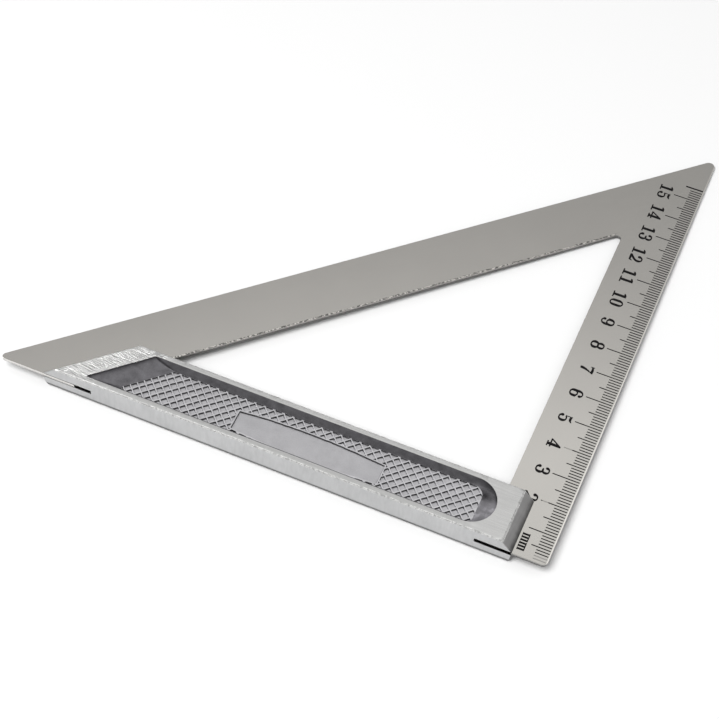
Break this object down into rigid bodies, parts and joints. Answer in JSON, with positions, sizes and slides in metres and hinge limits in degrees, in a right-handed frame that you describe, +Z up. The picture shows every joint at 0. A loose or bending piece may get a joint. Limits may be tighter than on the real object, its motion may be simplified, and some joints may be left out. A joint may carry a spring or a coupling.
{
  "type": "speed square",
  "caption": "Metric speed square: a flat triangular steel blade with a filled scale, its base edge held in a cast aluminium stock with knurled grip pockets.",
  "frame": {"origin": "under the middle of the whole tool: centre of the bounding box in X and Y, lowest face of the stock in Z", "axes": "+X along the stock, out of the edge that carries the scale; +Y along the scale, from the stock to the upper tip of the triangle; +Z up, out of the face that carries the scale"},
  "size_m": [0.17, 0.169, 0.0088],
  "materials": {
    "blade_steel": "matte stainless sheet, finely brushed",
    "stock_alloy": "die cast, outer faces linished, pockets as cast",
    "black_enamel": "matte black fill",
    "adhesive": "cured resin"
  },
  "bodies": {
    "root": {"blade": "blade_steel", "stock": "stock_alloy", "slot_adhesive": "adhesive", "mm_lines": "black_enamel", "half_cm_lines": "black_enamel", "cm_lines": "black_enamel", "end_line": "black_enamel", "numerals": "black_enamel", "unit_mark": "black_enamel"}
  },
  "joints": []
}
